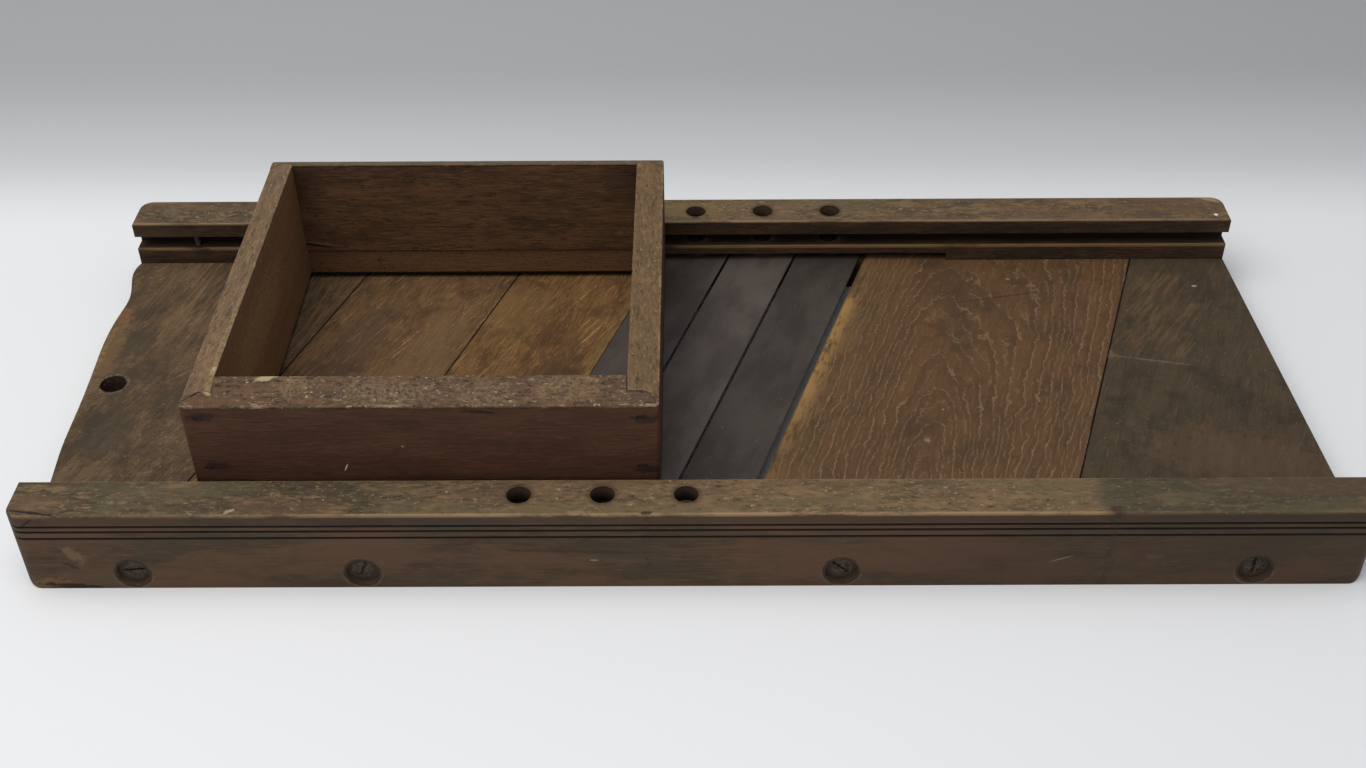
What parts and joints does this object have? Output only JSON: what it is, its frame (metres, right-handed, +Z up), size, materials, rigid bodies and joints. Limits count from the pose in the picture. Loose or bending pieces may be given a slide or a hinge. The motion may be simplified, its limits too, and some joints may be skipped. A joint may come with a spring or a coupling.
{
  "type": "cabbage shredder",
  "caption": "Wooden cabbage shredder: grooved side rails, slanted bed boards, slanted steel knives on adjusting screws, and a bottomless hopper box that slides over them.",
  "frame": {"origin": "on the table, under the middle of the frame", "axes": "+X along the rails towards the bare right end, +Y from the front rail to the back rail, +Z up"},
  "size_m": [0.7044, 0.297, 0.104],
  "materials": {
    "rail_wood": "aged dark brown, worn, oiled by use",
    "bed_wood": "aged brown with open grain, worn",
    "hopper_wood": "aged reddish dark brown, worn edges",
    "knife_steel": "dark patina, honed edge",
    "screw_iron": "dark oxidised",
    "nail_iron": "dark oxidised"
  },
  "bodies": {
    "frame": {"front_rail": "rail_wood", "back_rail": "rail_wood", "front_rail_screws": "screw_iron", "back_rail_screws": "screw_iron", "groove_stop_pin": "screw_iron", "left_end_board": "bed_wood", "left_middle_board": "bed_wood", "left_inner_board": "bed_wood", "right_inner_board": "bed_wood", "right_end_board": "bed_wood"},
    "hopper": {"hopper_front_wall": "hopper_wood", "hopper_back_wall": "hopper_wood", "hopper_left_wall": "hopper_wood", "hopper_right_wall": "hopper_wood", "hopper_front_runner": "hopper_wood", "hopper_back_runner": "hopper_wood", "hopper_wall_nails": "nail_iron", "hopper_runner_nails": "nail_iron"},
    "blade_1": {"blade_1": "knife_steel"},
    "blade_1_front_screw": {"blade_1_front_screw": "screw_iron"},
    "blade_1_back_screw": {"blade_1_back_screw": "screw_iron"},
    "blade_2": {"blade_2": "knife_steel"},
    "blade_2_front_screw": {"blade_2_front_screw": "screw_iron"},
    "blade_2_back_screw": {"blade_2_back_screw": "screw_iron"},
    "blade_3": {"blade_3": "knife_steel"},
    "blade_3_front_screw": {"blade_3_front_screw": "screw_iron"},
    "blade_3_back_screw": {"blade_3_back_screw": "screw_iron"}
  },
  "joints": [
    {"name": "hopper_slide", "type": "slide", "parent": "frame", "child": "hopper", "axis": [1, 0, 0], "range_m": [-0.0595, 0.358]},
    {"name": "blade_1_lift", "type": "slide", "parent": "frame", "child": "blade_1", "axis": [0, 0, 1], "range_m": [0, 0.0012]},
    {"name": "blade_1_front_screw_turn", "type": "hinge", "parent": "blade_1", "child": "blade_1_front_screw", "pos_m": [-0.08536, -0.1335, 0.0214], "axis": [0, 0, 1], "range_deg": [0, 222]},
    {"name": "blade_1_back_screw_turn", "type": "hinge", "parent": "blade_1", "child": "blade_1_back_screw", "pos_m": [0.00606, 0.1335, 0.0214], "axis": [0, 0, 1], "range_deg": [0, 222]},
    {"name": "blade_2_lift", "type": "slide", "parent": "frame", "child": "blade_2", "axis": [0, 0, 1], "range_m": [0, 0.0012]},
    {"name": "blade_2_front_screw_turn", "type": "hinge", "parent": "blade_2", "child": "blade_2_front_screw", "pos_m": [-0.04276, -0.1335, 0.0214], "axis": [0, 0, 1], "range_deg": [0, 222]},
    {"name": "blade_2_back_screw_turn", "type": "hinge", "parent": "blade_2", "child": "blade_2_back_screw", "pos_m": [0.04866, 0.1335, 0.0214], "axis": [0, 0, 1], "range_deg": [0, 222]},
    {"name": "blade_3_lift", "type": "slide", "parent": "frame", "child": "blade_3", "axis": [0, 0, 1], "range_m": [0, 0.0012]},
    {"name": "blade_3_front_screw_turn", "type": "hinge", "parent": "blade_3", "child": "blade_3_front_screw", "pos_m": [-0.00016, -0.1335, 0.0214], "axis": [0, 0, 1], "range_deg": [0, 222]},
    {"name": "blade_3_back_screw_turn", "type": "hinge", "parent": "blade_3", "child": "blade_3_back_screw", "pos_m": [0.09126, 0.1335, 0.0214], "axis": [0, 0, 1], "range_deg": [0, 222]}
  ],
  "couplings": [
    {"joint": "blade_1_front_screw_turn", "follows": "blade_1_lift", "rad_per_m": 3215.6},
    {"joint": "blade_1_back_screw_turn", "follows": "blade_1_lift", "rad_per_m": 3215.6},
    {"joint": "blade_2_front_screw_turn", "follows": "blade_2_lift", "rad_per_m": 3215.6},
    {"joint": "blade_2_back_screw_turn", "follows": "blade_2_lift", "rad_per_m": 3215.6},
    {"joint": "blade_3_front_screw_turn", "follows": "blade_3_lift", "rad_per_m": 3215.6},
    {"joint": "blade_3_back_screw_turn", "follows": "blade_3_lift", "rad_per_m": 3215.6}
  ]
}
